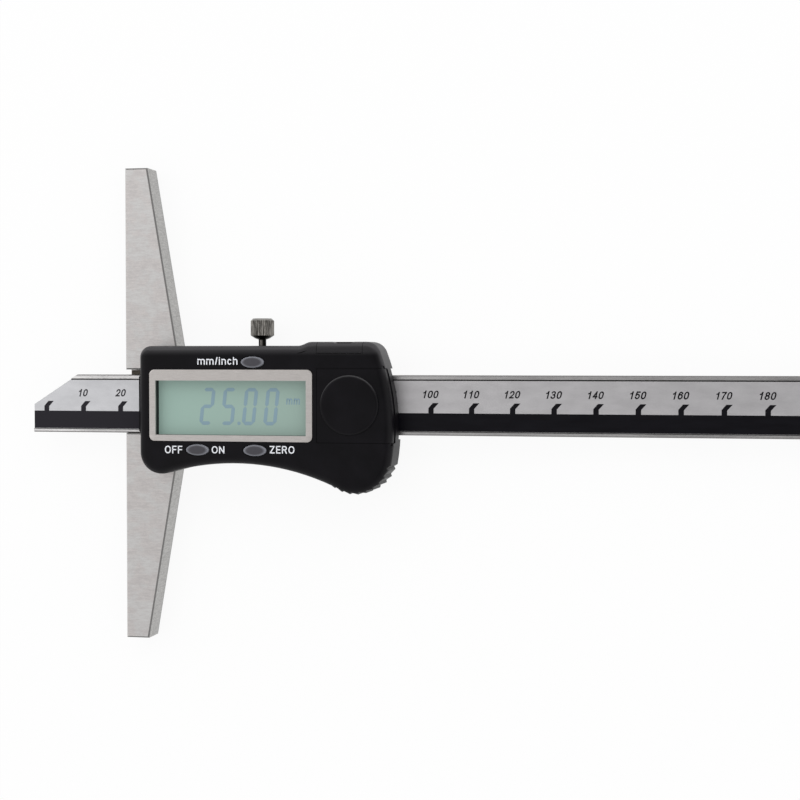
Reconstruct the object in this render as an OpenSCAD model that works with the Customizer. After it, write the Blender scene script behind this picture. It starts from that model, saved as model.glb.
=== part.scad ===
// Digital depth gauge: a steel beam slides through a cross base and a display unit.
// The part lies on its back. X runs along the beam, Y along the base, Z out of the display.
// The origin is on the measuring face, on the beam's centreline, at the back plane.

/* [Beam] */
// Width of the beam
beam_w = 14.7; // [13:0.1:16]
// Thickness of the beam
beam_t = 3.5; // [3:0.1:4.5]
// Length of the beam
beam_l = 290; // [270:5:400]
// How far the beam's tip stands out of the measuring face
tip_out = 25; // [15:1:40]
// Length of the tip's square end, across the beam
tip_flat = 7.15; // [3:0.05:10]
// Angle of the tip's bevel to the beam
tip_angle = 32.5; // [20:0.5:50]
// Chamfer along the beam's edges
beam_chamfer = 0.25; // [0.1:0.05:0.5]

/* [Scale] */
// Width of the beam's lower rail, below the scale
lower_rail_w = 0.95; // [0.5:0.05:2]
// Width of the beam's upper rail, above the scale
upper_rail_w = 1.1; // [0.5:0.05:2]
// Depth of the recess that holds the scale
recess_d = 0.65; // [0.64:0.01:0.9]
// Thickness of the scale's circuit strip
strip_t = 0.48; // [0.3:0.02:0.48]
// Thickness of the printed label
label_t = 0.12; // [0.05:0.01:0.12]
// Thickness of the printed band
ink_t = 0.03; // [0.02:0.01:0.04]
// Width of the dark band
band_w = 4.45; // [2:0.05:6]
// Distance from one mark to the next
mark_pitch = 10; // [5:1:20]
// Distance from the beam's tip to the zero mark
mark_start = 3.5; // [1:0.1:8]
// Number of marks after the zero mark
mark_count = 20; // [5:1:24]
// Width of a mark's line
mark_w = 1.3; // [0.5:0.1:2]
// Height of a mark above the band
mark_h = 2.5; // [1:0.1:4]

/* [Base] */
// Length of the base, across the beam
base_l = 118.7; // [90:0.1:150]
// Width of the base at its ends
base_end_w = 5.9; // [4:0.1:9]
// Width of the base at the beam's centreline
base_mid_w = 15.95; // [15:0.05:17]
// Chamfer round the base's faces
base_chamfer = 0.35; // [0.1:0.05:0.6]

/* [Slider frame] */
// Thickness of the frame's floor, behind the beam
floor_t = 3.2; // [2.6:0.1:4]
// Thickness of the frame's upper wall
upper_wall = 4.45; // [4.2:0.05:6]
// Thickness of the frame's lower wall
lower_wall = 5.1; // [4.4:0.1:6]
// Space above the beam that holds the gib strip
gib_room = 1.3; // [1.1:0.05:2]
// Thickness of the gib strip
gib_t = 1.05; // [0.5:0.05:1.05]
// Distance from the measuring face to the gib strip
gib_start = 1.5; // [0.5:0.1:3]
// Thickness of the frame's tongue, behind the base
tongue_t = 1.5; // [1.3:0.1:2]

/* [Housing] */
// Distance from the measuring face to the housing
case_left = 6.05; // [5.5:0.05:8]
// Thickness of the housing's side wall
wall = 1.15; // [0.8:0.05:1.2]
// Thickness of the housing's front wall
skin = 1.5; // [1.4:0.1:2]
// Radius of the rounded edge round the display face
edge_r = 1.9; // [0.8:0.1:2.2]
// Radius of the upper left corner
corner_r = 2.8; // [2.4:0.1:4]
// Radius of the lower left corner
heel_r = 5.4; // [4.5:0.1:6.5]
// Radius of the hollow lower edge
hollow_r = 61; // [50:1:80]
// Height of the raised right half over the left half
hump_h = 0.95; // [0.8:0.05:1.6]
// Radius of the upper right shoulder
shoulder_r = 3.8; // [3:0.1:6]
// Radius of the bowed right wall
wall_r = 52; // [45:1:70]
// Radius of the thumb grip, over its teeth
grip_r = 9; // [8.5:0.1:10]
// How far the thumb grip stands below the hollow edge
grip_drop = 7.2; // [7:0.1:8.5]
// Depth of the grip's teeth
tooth_d = 0.5; // [0.2:0.05:0.8]
// Angle from one tooth to the next
tooth_step = 13; // [8:0.5:15]
// Depth of the rear housing
rear_h = 2.8; // [2.2:0.1:3.4]

/* [Display] */
// Length of the window
window_l = 38.45; // [34:0.05:42]
// Width of the window
window_w = 13.4; // [11:0.05:15]
// Width of the bezel's side bars
bezel_side = 1.55; // [1:0.05:3]
// Width of the bezel's upper bar
bezel_upper = 2.7; // [1.7:0.05:4]
// Width of the bezel's lower bar
bezel_lower = 1.5; // [1:0.05:3]
// Thickness of the bezel
bezel_t = 0.6; // [0.4:0.1:0.9]
// Depth of the glass below the display face
glass_depth = 2.5; // [2:0.1:2.8]
// Thickness of the display glass
glass_t = 1.9; // [1.2:0.1:2.2]

/* [Buttons] */
// Length of a button
button_l = 5.9; // [4.5:0.1:6.5]
// Width of a button
button_w = 2.75; // [2.2:0.05:3]
// How far a button stands out of the display face
button_out = 0.35; // [0.1:0.05:0.8]
// Travel of a button
button_travel = 0.4; // [0.2:0.05:0.5]

/* [Battery] */
// Diameter of the button cell
cell_d = 11.6; // [9.5:0.1:12.5]
// Thickness of the button cell
cell_t = 5.4; // [4.6:0.1:6]
// Width of the battery cover, across the beam
cover_w = 17.9; // [16:0.1:18.1]
// Thickness of the battery cover
cover_t = 1.1; // [0.9:0.05:1.4]
// Diameter of the cover's raised disc
disc_d = 14.6; // [12:0.1:15.5]
// Height of the raised disc
disc_h = 0.6; // [0.2:0.05:0.8]
// Length of the output port's cover
port_l = 11.5; // [9:0.1:12.5]

/* [Lock screw] */
// Distance from the measuring face to the lock screw
lock_x = 35.4; // [28:0.1:42]
// Diameter of the knurled head
lock_head_d = 5.85; // [4.5:0.05:7]
// Height of the head's knurled band
lock_head_h = 3.6; // [2.5:0.1:6]
// Depth of the knurls
knurl_d = 0.22; // [0.1:0.02:0.4]
// Diameter of the thread
lock_d = 2.4; // [2:0.1:2.8]
// Diameter of the neck under the head
lock_neck_d = 1.9; // [1.4:0.05:2]
// Diameter of the small screws
screw_d = 2; // [1.6:0.1:2.2]
// Diameter of the small screws' heads
screw_head_d = 3.4; // [3:0.1:3.6]

/* [Hidden] */
$fn = 48;

slide_gap = 0.08;
seat_gap = 0.05;
cover_gap = 0.1;
cut = 1;
beyond = 10;

// Beam and scale
beam_back = floor_t + slide_gap;
beam_front = beam_back + beam_t;
beam_left = -tip_out;
beam_right = beam_l - tip_out;
beam_mid = beam_back + beam_t / 2;
deck = beam_front + 0.22;
end_corner = 1;
recess_low = -beam_w / 2 + lower_rail_w;
recess_top = beam_w / 2 - upper_rail_w;
label_low = recess_low + seat_gap;
label_top = recess_top - 0.25;
strip_back = beam_front - recess_d;
label_back = strip_back + strip_t;
band_back = label_back + label_t;
band_top = label_low + band_w;

// Slider frame
channel_low = -beam_w / 2 - slide_gap;
channel_top = beam_w / 2 + gib_room;
frame_low = channel_low - lower_wall;
frame_top = channel_top + upper_wall;
tongue_start = 2.6;
tongue_side = frame_top + 0.1;
gib_low = beam_w / 2 + seat_gap;
gib_top = gib_low + gib_t;

// Distance from the measuring face to the base's sloped back, at a height y
function base_back(y) = base_mid_w - (base_mid_w - base_end_w) * y / (base_l / 2);
frame_start = base_back(-channel_low) + seat_gap;

// Display unit, from left to right
bezel_left = case_left + 2.95;
bezel_right = bezel_left + window_l + 2 * bezel_side;
bezel_w = window_w + bezel_lower + bezel_upper;
bezel_low = -0.1 - bezel_w / 2;
bezel_top = bezel_low + bezel_w;
bezel_r = 1.3;
bezel_gap = 0.15;
bezel_proud = 0.1;
window_left = bezel_left + bezel_side;
window_low = bezel_low + bezel_lower;
tray_left = bezel_right + 1.05;
cell_at = [tray_left + disc_d / 2 + 0.9, 0.15];
tray_right = cell_at.x + cell_d / 2 + 1;
case_right = tray_right + 4;
frame_end = case_right - 6.6;
port_left = tray_left;
port_right = port_left + port_l;

// Display unit, from back to front
board_t = 1;
board_top = deck + board_t;
tray_floor = 0.5;
contact_t = 0.1;
cell_back = deck + tray_floor + contact_t;
cover_back = cell_back + cell_t + cover_gap;
case_h = cover_back + cover_t;
glass_front = case_h - glass_depth;
glass_back = glass_front - glass_t;
glass_side = 1.1;
glass_low = window_low - 1.7;
glass_top = window_low + window_w + 1.7;
connector_w = 1.5;
rear_back = deck - rear_h;
rear_chamfer = 0.6;
saddle_back = 0.3;
lip_back = deck + 3.9;

// Buttons
unit_at = [case_left + 29.45, bezel_top + 1.85];
power_at = [case_left + 15.35, bezel_low - 2.15];
zero_at = [case_left + 30.05, bezel_low - 2.15];
switch_h = 0.9;
button_gap = 0.2;
flange_side = 0.45;
flange_t = 0.6;

// Housing outline
case_top = max(frame_top + seat_gap + 1.4, unit_at.y + button_w / 2 + 2.4);
hollow_y = max(1.85 - frame_low, 1.75 - power_at.y + button_w / 2);
hump_top = case_top + hump_h;
hump_right = port_left - 1.6;
hump_left = hump_right - PI * sqrt(hump_h * 0.65 * edge_r);
head = [case_left + corner_r, case_top - corner_r];
heel = [case_left + heel_r, heel_r - hollow_y - 2.83];
hollow_side = sqrt(pow(heel_r + hollow_r, 2) - pow(heel.y + hollow_r + hollow_y, 2));
hollow = [heel.x + hollow_side, -hollow_y - hollow_r];
grip = [case_right - grip_r - 0.77, grip_r - hollow_y - grip_drop];
grip_end_angle = -20;
bow = [case_right - wall_r, -5.5];
bow_start = -10;
shoulder_rise = hump_top - shoulder_r - bow.y;
shoulder_lean = asin(shoulder_rise / (wall_r - shoulder_r));
shoulder = bow + (wall_r - shoulder_r) * [cos(shoulder_lean), sin(shoulder_lean)];
exit_low = channel_low - 0.97;
saddle_top = channel_top + 2.4;
edge_steps = 6;
ledge_out = 0.6;
ledge_low = channel_low + 0.85;
ledge_top = beam_w / 2 - 0.45;
ledge_slope = 0.9;

// Circuit board
chip_d = 8;
chip_h = 1.1;
switch_d = 2.4;
board_left = case_left + 1.8;
board_right = tray_left - 0.9;
board_low = 1.9 - hollow_y;
board_high = case_top - 2.25;
port_low = board_high + 0.35;
arm_low = cover_w / 2 + 0.85;

// Screws, as [x, y] places seen from the front
screw_head_h = 1;
screw_sunk = 0.15;
base_screw_l = deck - 2.4;
case_screw_bite = 3.4;
case_screw_l = deck + case_screw_bite;
boss_d = screw_d + 1.2;
upper_screw_y = (channel_top + frame_top) / 2;
lower_screw_y = frame_low + screw_head_d / 2 + 0.18;
base_screws_at = [[5.2, upper_screw_y], [5.2, lower_screw_y]];
case_screw_left = 4.85;
case_screw_right = [3.35, 2.05];
case_screws_at = [[case_left + case_screw_left, upper_screw_y],
    [case_left + case_screw_left, lower_screw_y],
    [bezel_right - case_screw_right[0], upper_screw_y],
    [bezel_right - case_screw_right[1], lower_screw_y]];
gib_screw_in = [9.3, 14];
gib_screws_at = [frame_start + gib_screw_in[0], frame_end - gib_screw_in[1]];

// Lock screw
neck_top = case_top + 1.65;
head_cup = 1;
head_chamfer = 0.6;
knurls = 30;

function arc(c, r, a0, a1, n) =
    [for (i = [0:n]) let (a = a0 + (a1 - a0) * i / n) c + r * [cos(a), sin(a)]];
function heading(a, b) = atan2(b.y - a.y, b.x - a.x);

// The angle at the first radius in a triangle with these three sides
function corner(r, side, across) = acos((r * r + side * side - across * across) / (2 * r * side));

// The hollow edge meets the thumb grip where their circles cross, or else along their tangent
centres = norm(grip - hollow);
crosses = centres < hollow_r + grip_r;
tangent_turn = crosses ? 0 : acos((hollow_r + grip_r) / centres);
hollow_turn = crosses ? corner(hollow_r, centres, grip_r) : tangent_turn;
grip_turn = crosses ? -corner(grip_r, centres, hollow_r) : tangent_turn;
hollow_end = heading(hollow, grip) + hollow_turn;
grip_start = heading(grip, hollow) + grip_turn;

// The thumb grip's saw teeth: each drops sharply past its crest, then rises to the next
teeth = floor((grip_end_angle - grip_start - 4) / tooth_step);
first_crest = grip_end_angle - teeth * tooth_step;
tooth_fall = 0.22;
grip_angles = concat([grip_start + 1.5],
    [for (k = [0:teeth], q = [0, tooth_fall]) first_crest + (k + q) * tooth_step]);
grip_depths = concat([0], [for (k = [0:teeth], q = [0, 1]) q * tooth_d]);

ramp_steps = 8;
before_grip = concat(
    arc(head, corner_r, 90, 180, 8),
    arc(heel, heel_r, 180, 360 + heading(heel, hollow), 14),
    arc(hollow, hollow_r, heading(hollow, heel) - 0.9, hollow_end, 18));
after_grip = concat(
    arc(bow, wall_r, bow_start, shoulder_lean, 12),
    arc(shoulder, shoulder_r, shoulder_lean + 5, 90, 10),
    [for (i = [0:ramp_steps]) let (s = i / ramp_steps)
        [hump_right - (hump_right - hump_left) * s, case_top + hump_h * (1 + cos(180 * s)) / 2]]);
case_outline = concat(before_grip,
    [for (a = grip_angles) grip + grip_r * [cos(a), sin(a)]], after_grip);
case_depths = concat([for (p = before_grip) 0], grip_depths, [for (p = after_grip) 0]);

// An outline moved inwards by d, or by a point's own depth where that is more
function edge_normal(a, b) = let (v = b - a) [-v.y, v.x] / norm(v);
function inset(pts, d, depths = []) = let (n = len(pts)) [for (i = [0:n - 1])
    let (m = edge_normal(pts[(i + n - 1) % n], pts[i]), k = edge_normal(pts[i], pts[(i + 1) % n]))
    pts[i] + max(d, len(depths) > 0 ? depths[i] : d) * (m + k) / (1 + m * k)];

// A solid whose cross-section is the outline, inset by each level's first value at its second
module loft(pts, levels, depths = []) {
    n = len(pts);
    rings = len(levels);
    points = [for (l = levels) for (p = inset(pts, l[0], depths)) [p.x, p.y, l[1]]];
    sides = [for (r = [0:rings - 2]) for (i = [0:n - 1]) let (j = (i + 1) % n)
        [(r + 1) * n + i, (r + 1) * n + j, r * n + j, r * n + i]];
    bottom = [for (i = [0:n - 1]) i];
    top = [for (i = [0:n - 1]) rings * n - 1 - i];
    polyhedron(points, concat(sides, [bottom, top]), convexity = 6);
}

module plate(left, low, back, right, top, front) {
    translate([left, low, back]) cube([right - left, top - low, front - back]);
}

module round_plate(left, low, back, right, top, front, r) {
    translate([0, 0, back]) linear_extrude(front - back) union() {
        translate([left + r, low]) square([right - left - 2 * r, top - low]);
        translate([left, low + r]) square([right - left, top - low - 2 * r]);
        for (x = [left + r, right - r], y = [low + r, top - r]) translate([x, y]) circle(r);
    }
}

// A bore across the beam, from height low up to top, at the beam's middle
module cross_bore(x, d, low, top) {
    translate([x, low, beam_mid]) rotate([-90, 0, 0]) cylinder(d = d, h = top - low);
}

// The beam's outline seen from the front, inset by d
module beam_outline(d) {
    bevel_run = (beam_w - tip_flat) / tan(tip_angle);
    polygon(inset([[beam_left, -beam_w / 2], [beam_right - end_corner, -beam_w / 2],
        [beam_right, -beam_w / 2 + end_corner], [beam_right, beam_w / 2 - end_corner],
        [beam_right - end_corner, beam_w / 2], [beam_left + bevel_run, beam_w / 2],
        [beam_left, -beam_w / 2 + tip_flat]], d));
}

// The beam's cross-section, drawn in Y and Z
module beam_section() {
    w = beam_w / 2;
    c = beam_chamfer;
    difference() {
        polygon([[-w + c, beam_back], [w - c, beam_back], [w, beam_back + c], [w, beam_front - c],
            [w - c, beam_front], [-w + c, beam_front], [-w, beam_front - c], [-w, beam_back + c]]);
        translate([recess_low, strip_back]) square([recess_top - recess_low, recess_d + cut]);
    }
}

module beam() {
    color("lightsteelblue") intersection() {
        translate([beam_left - cut, 0, 0]) rotate([90, 0, 90])
            linear_extrude(beam_l + 2 * cut) beam_section();
        translate([0, 0, beam_back - cut]) linear_extrude(beam_t + 2 * cut) beam_outline(0);
    }
}

// A layer of the scale between two heights, inside the beam's outline
module scale_layer(low, top, back, thick, inside) {
    translate([0, 0, back]) linear_extrude(thick) intersection() {
        beam_outline(inside);
        translate([beam_left - cut, low]) square([beam_l + 2 * cut, top - low]);
    }
}

module scale_strip() {
    color("darkgreen") scale_layer(label_low, label_top, strip_back, strip_t, 0.1);
}

module scale_label() {
    color("silver") scale_layer(label_low, label_top, label_back, label_t, 0.15);
}

// One printed mark: a short stem that leans over to the right
module mark() {
    polygon([[-mark_w / 2, -0.1], [mark_w / 2, -0.1], [mark_w / 2, mark_h * 0.45],
        [mark_w * 1.45, mark_h], [mark_w * 0.35, mark_h], [-mark_w / 2, mark_h * 0.5]]);
}

module scale_band() {
    color("black") translate([0, 0, band_back]) linear_extrude(ink_t) intersection() {
        beam_outline(0.15);
        union() {
            translate([beam_left - cut, label_low + seat_gap])
                square([beam_l + 2 * cut, band_w - seat_gap]);
            for (i = [0:mark_count])
                translate([beam_left + mark_start + i * mark_pitch, band_top]) mark();
        }
    }
}

// One wing of the base, from y0 out to the end
module wing(y0) {
    pts = [[0, y0], [base_back(y0), y0], [base_end_w, base_l / 2], [0, base_l / 2]];
    c = base_chamfer;
    hull() {
        translate([0, 0, c]) linear_extrude(deck - 2 * c) polygon(pts);
        linear_extrude(deck) polygon(inset(pts, c));
    }
}

// A hole for a small screw that enters from the back
module screw_hole(p, length, d) {
    translate([p.x, p.y, -cut]) cylinder(d = d, h = length + cut);
    translate([p.x, p.y, -cut]) cylinder(d = screw_head_d + 0.1, h = screw_sunk + screw_head_h + cut);
}

module base() {
    color("gainsboro") difference() {
        union() {
            wing(channel_top);
            mirror([0, 1, 0]) wing(-channel_low);
            plate(0.1, channel_low - cut, 0, frame_start - seat_gap, channel_top + cut, floor_t);
        }
        plate(tongue_start, -tongue_side, -cut, base_mid_w + cut, tongue_side, tongue_t);
        for (p = base_screws_at) screw_hole(p, base_screw_l + 0.2, screw_d + 0.1);
        for (i = [0, 1]) screw_hole(case_screws_at[i], deck + cut, screw_d + 0.3);
    }
}

module slider_frame() {
    color("lightgray") difference() {
        union() {
            plate(frame_start, frame_low, 0, frame_end, frame_top, deck);
            plate(tongue_start + seat_gap, seat_gap - tongue_side, 0, frame_start + cut,
                tongue_side - seat_gap, tongue_t - 0.02);
        }
        plate(frame_start - cut, channel_low, floor_t, frame_end + cut, channel_top, deck + cut);
        for (p = concat(base_screws_at, case_screws_at)) screw_hole(p, deck + cut, screw_d + 0.3);
        cross_bore(lock_x, lock_d + 0.1, channel_top - cut, frame_top + cut);
        for (x = gib_screws_at) cross_bore(x, screw_d + 0.1, channel_top - cut, frame_top + cut);
    }
}

// A small slotted screw, driven in from the back
module back_screw(p, length) {
    translate([p.x, p.y, screw_sunk]) difference() {
        union() {
            cylinder(d = screw_head_d, h = screw_head_h);
            cylinder(d = screw_d, h = length - screw_sunk);
        }
        translate([-screw_head_d, -0.25, -cut]) cube([2 * screw_head_d, 0.5, cut + 0.5]);
    }
}

module base_screws() {
    color("dimgray") for (p = base_screws_at) back_screw(p, base_screw_l);
}

module housing_screws() {
    color("dimgray") for (p = case_screws_at) back_screw(p, case_screw_l);
}

module gib_strip() {
    color("goldenrod") plate(gib_start, gib_low, beam_back + 0.2,
        frame_end - 1, gib_top, beam_front - 0.2);
}

module gib_screws() {
    length = frame_top - gib_top - 0.9;
    color("dimgray") for (x = gib_screws_at)
        translate([x, gib_top, beam_mid]) rotate([-90, 0, 0]) difference() {
            cylinder(d = screw_d, h = length);
            translate([0, 0, length - 0.6]) cylinder(d = 1, h = 1, $fn = 6);
        }
}

// The screw's head is a knurled band between a cupped underside and a chamfered end
module lock_screw() {
    r = lock_head_d / 2;
    band_start = neck_top + head_cup;
    band_end = band_start + lock_head_h;
    head_end = band_end + head_chamfer;
    color("darkgray") translate([lock_x, 0, beam_mid]) rotate([-90, 0, 0]) union() {
        translate([0, 0, gib_top + 0.02]) cylinder(d = lock_d, h = frame_top - gib_top);
        translate([0, 0, frame_top]) cylinder(d = lock_neck_d, h = neck_top - frame_top + 0.1);
        intersection() {
            translate([0, 0, neck_top]) linear_extrude(head_end - neck_top)
                polygon([for (i = [0:2 * knurls - 1]) let (a = 180 * i / knurls)
                    (r - (i % 2) * knurl_d) * [cos(a), sin(a)]]);
            rotate_extrude() polygon([[0, neck_top], [r * 0.4, neck_top],
                [r * 0.65, neck_top + head_cup * 0.3], [r * 0.88, neck_top + head_cup * 0.75],
                [r, band_start], [r, band_end], [r - head_chamfer, head_end], [0, head_end]]);
        }
    }
}

module circuit_board() {
    color("darkgreen") difference() {
        union() {
            plate(board_left, board_low, deck, board_right, board_high, board_top);
            plate(board_right - cut, arm_low, deck, port_right - 0.6, board_high, board_top);
        }
        for (p = case_screws_at) translate([p.x, p.y, deck - cut])
            cylinder(d = boss_d + 0.4, h = board_t + 2 * cut);
        for (i = [0, 1]) let (p = case_screws_at[i], s = sign(p.y)) {
            plate(board_left - cut, min(s * 30, p.y - s), deck - cut, p.x, max(s * 30, p.y - s),
                board_top + cut);
            plate(board_left - cut, min(s * 30, p.y), deck - cut, p.x + boss_d / 2 + 0.2,
                max(s * 30, p.y), board_top + cut);
        }
    }
}

module chip() {
    color("black") translate([window_left + window_l / 2, 0, board_top])
        cylinder(d = chip_d, h = chip_h);
}

module button_switches() {
    color("silver") for (p = [unit_at, power_at, zero_at])
        translate([p.x, p.y, board_top]) cylinder(d = switch_d, h = switch_h);
}

module glass_connectors() {
    color("lightyellow") for (y = [glass_low + 0.1, glass_top - connector_w - 0.1])
        plate(window_left + 1.5, y, board_top, window_left + window_l - 1.5, y + connector_w, glass_back);
}

module display_glass() {
    color("darkseagreen") plate(window_left - glass_side, glass_low, glass_back,
        window_left + window_l + glass_side, glass_top, glass_front);
}

module window_hole(back) {
    plate(window_left, window_low, back, window_left + window_l, window_low + window_w, case_h + cut);
}

module display_bezel() {
    color("rosybrown") difference() {
        round_plate(bezel_left, bezel_low, case_h + bezel_proud - bezel_t,
            bezel_right, bezel_top, case_h + bezel_proud, bezel_r);
        window_hole(deck);
    }
}

function ellipse(a, b, n) = [for (i = [0:n - 1]) [a * cos(360 * i / n), b * sin(360 * i / n)]];

module oval(side, back, front) {
    translate([0, 0, back]) linear_extrude(front - back)
        polygon(ellipse(button_l / 2 + side, button_w / 2 + side, 40));
}

// A button: a cap with a rounded edge, a flange behind the skin and a stem to its switch
module push_button(p) {
    flange_front = case_h - skin - 0.02;
    stem_back = board_top + switch_h + button_travel + 0.1;
    cap_r = 0.45;
    cap_top = case_h + button_out;
    color("slategray") translate([p.x, p.y, 0]) union() {
        loft(ellipse(button_l / 2, button_w / 2, 40), concat([[0, flange_front - 0.2]],
            [for (t = [0:30:90]) [cap_r * (1 - cos(t)), cap_top - cap_r + cap_r * sin(t)]]));
        oval(flange_side, flange_front - flange_t, flange_front);
        translate([0, 0, stem_back]) cylinder(d = 1.6, h = flange_front - 0.1 - stem_back);
    }
}

// Everything within the housing's outline and beyond, between two heights
module slab(back, front) {
    plate(case_left - beyond, -hollow_y - grip_drop - beyond, back,
        case_right + beyond, hump_top + beyond, front);
}

// The housing's outer form from a back plane up to the rounded front edge
module case_body(back, smaller = 0) {
    difference() {
        loft(inset(case_outline, smaller), concat([[0, back - cut]],
            [for (i = [0:edge_steps]) let (t = 90 * i / edge_steps)
                [edge_r * (1 - cos(t)), case_h - edge_r + edge_r * sin(t)]]), case_depths);
        slab(back - 2 * cut, back);
    }
}

module front_housing() {
    skin_back = case_h - skin;
    color([0.12, 0.12, 0.13]) difference() {
        union() {
            difference() {
                case_body(deck);
                translate([0, 0, deck - cut]) linear_extrude(skin_back - deck + cut)
                    polygon(inset(case_outline, wall));
            }
            // Frame that the glass is seated against
            plate(window_left - glass_side, glass_low, glass_front,
                window_left + window_l + glass_side, glass_top, skin_back + 0.1);
            // Battery tray, up to the end wall
            plate(tray_left - 0.8, -cover_w / 2 - 1.6, deck + 0.02,
                case_right - 2.6, cover_w / 2 + 0.75, skin_back + 0.1);
            for (p = case_screws_at) translate([p.x, p.y, deck + 0.02])
                cylinder(d = boss_d, h = skin_back - deck);
            // Ledge that reaches over the beam at the left
            translate([0, 0, deck + 0.05]) linear_extrude(5)
                polygon([[case_left + ledge_slope - ledge_out, ledge_low - ledge_slope],
                    [case_left - ledge_out, ledge_low], [case_left - ledge_out, ledge_top],
                    [case_left + ledge_slope - ledge_out, ledge_top + ledge_slope]]);
        }
        round_plate(bezel_left - bezel_gap, bezel_low - bezel_gap, case_h + bezel_proud - bezel_t,
            bezel_right + bezel_gap, bezel_top + bezel_gap, case_h + cut, bezel_r + bezel_gap);
        window_hole(glass_front - cut);
        for (p = [unit_at, power_at, zero_at]) translate([p.x, p.y, 0])
            oval(button_gap, skin_back - cut, case_h + cut);
        cover_space(cover_gap);
        translate([cell_at.x, cell_at.y, deck + tray_floor]) cylinder(d = cell_d + 0.3, h = case_h);
        contact_space(cover_gap);
        plate(port_left, port_low, deck - cut, port_right, hump_top + cut, case_h + cut);
        for (p = case_screws_at) translate([p.x, p.y, deck - cut])
            cylinder(d = screw_d + 0.1, h = case_screw_l + 0.2 - deck + cut);
    }
}

// The space that the battery cover fills: its plate, two runners and the lip at its end
module cover_space(gap) {
    w = cover_w / 2 + gap;
    runner = w + 0.6;
    far = case_right + beyond;
    plate(tray_left + cover_gap - gap, -w, cover_back - gap, far, w, case_h + cut);
    plate(tray_left + cover_gap - gap, -runner, cover_back - gap, far, runner, cover_back + 0.5 + gap);
    plate(tray_right + cover_gap - gap, -w, lip_back - gap, far, w, case_h + cut);
}

module battery_cover() {
    r = disc_d / 2;
    color([0.1, 0.1, 0.11]) union() {
        intersection() {
            case_body(deck, 0.25);
            cover_space(0);
        }
        translate([cell_at.x, cell_at.y, case_h - 0.1]) rotate_extrude() polygon(concat(
            [[0, 0], [r, 0]],
            [for (t = [0:30:90]) [r - disc_h * (1 - cos(t)), 0.1 + disc_h * sin(t)]],
            [[0, disc_h + 0.1]]));
    }
}

// The two contacts' path through the tray, grown by gap
module contact_space(gap) {
    side = cell_at.x - cell_d / 2 - seat_gap;
    low = deck + tray_floor;
    plate(side - 0.2 - gap, -1.5 - gap, low - gap / 2, side + gap, 1.5 + gap, cover_back - 0.4 + gap);
    plate(tray_left - 1.6 - gap, -0.8 - gap, board_top, side + gap, 0.8 + gap, board_top + 0.2 + gap);
}

module positive_contact() {
    color("goldenrod") contact_space(0);
}

module negative_contact() {
    color("goldenrod") translate([cell_at.x, cell_at.y, deck + tray_floor]) cylinder(d = 6, h = contact_t);
}

module button_cell() {
    r = cell_d / 2;
    color("gainsboro") translate([cell_at.x, cell_at.y, cell_back]) rotate_extrude()
        polygon([[0, 0], [r - 1.9, 0], [r - 1.6, 0.8], [r - 0.9, 0.8], [r - 0.3, 1.2], [r, 1.5],
            [r, cell_t - 0.3], [r - 0.3, cell_t], [0, cell_t]]);
}

module port_cover() {
    notch_r = 6;
    color([0.1, 0.1, 0.11]) difference() {
        intersection() {
            case_body(deck);
            plate(port_left + cover_gap, port_low + cover_gap, deck + cover_gap,
                port_right - cover_gap, hump_top + cut, case_h + cut);
        }
        plate(port_left, port_low - cut, deck - cut, port_right, hump_top - 1.1, case_h - 1.2);
        translate([(port_left + port_right) / 2 + 0.6, hump_top + notch_r - 0.7, deck + 2])
            cylinder(r = notch_r, h = case_h - deck - 2.8);
    }
}

module port_contacts() {
    color("gold") for (i = [0:3])
        plate(port_left + 2.4 + i * 2, board_high - 1.3, board_top,
            port_left + 3.6 + i * 2, board_high, board_top + 0.1);
}

// A deep rim round the slider frame, closed by a saddle behind the beam at its right end
module rear_housing() {
    frame_gap = seat_gap;
    base_gap = 0.3;
    far = 40;
    color([0.12, 0.12, 0.13]) difference() {
        union() {
            difference() {
                loft(case_outline, [[rear_chamfer + cut, rear_back - cut],
                    [0, rear_back + rear_chamfer], [0, deck + cut]], case_depths);
                slab(rear_back - 2 * cut, rear_back);
                slab(deck, deck + 2 * cut);
            }
            plate(frame_end + frame_gap, frame_low, saddle_back, frame_end + 3, saddle_top, rear_back + 0.5);
        }
        plate(-cut, frame_low - frame_gap, rear_back - cut, frame_end + frame_gap,
            frame_top + frame_gap, deck + cut);
        plate(frame_end - cut, exit_low, beam_back - 0.3, case_right + cut,
            channel_top + 0.35, deck + cut);
        difference() {
            translate([0, 0, rear_back + 1]) linear_extrude(rear_h) polygon(inset(case_outline, wall));
            plate(frame_end, exit_low - 1.2, 0, frame_end + 4, channel_top + 1.5, deck + cut);
        }
        translate([0, 0, rear_back - cut]) linear_extrude(rear_h + 2 * cut) polygon([[0, -far],
            [base_back(far) + base_gap, -far], [base_mid_w + base_gap, 0],
            [base_back(far) + base_gap, far], [0, far]]);
        cross_bore(lock_x, lock_d + 0.3, frame_top - cut, case_top + cut);
        plate(lock_x - lock_d / 2 - 0.15, frame_top - cut, 0, lock_x + lock_d / 2 + 0.15,
            case_top + cut, beam_mid);
    }
}

beam();
scale_strip();
scale_label();
scale_band();
base();
slider_frame();
base_screws();
gib_strip();
gib_screws();
lock_screw();
circuit_board();
chip();
button_switches();
glass_connectors();
display_glass();
display_bezel();
front_housing();
rear_housing();
push_button(unit_at);  // unit_button
push_button(power_at);  // power_button
push_button(zero_at);  // zero_button
button_cell();
negative_contact();
positive_contact();
battery_cover();
port_cover();
port_contacts();
housing_screws();
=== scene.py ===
# A digital depth gauge lying on a pale table, seen from above
import math
import bpy
from mathutils import Matrix, Vector


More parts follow.
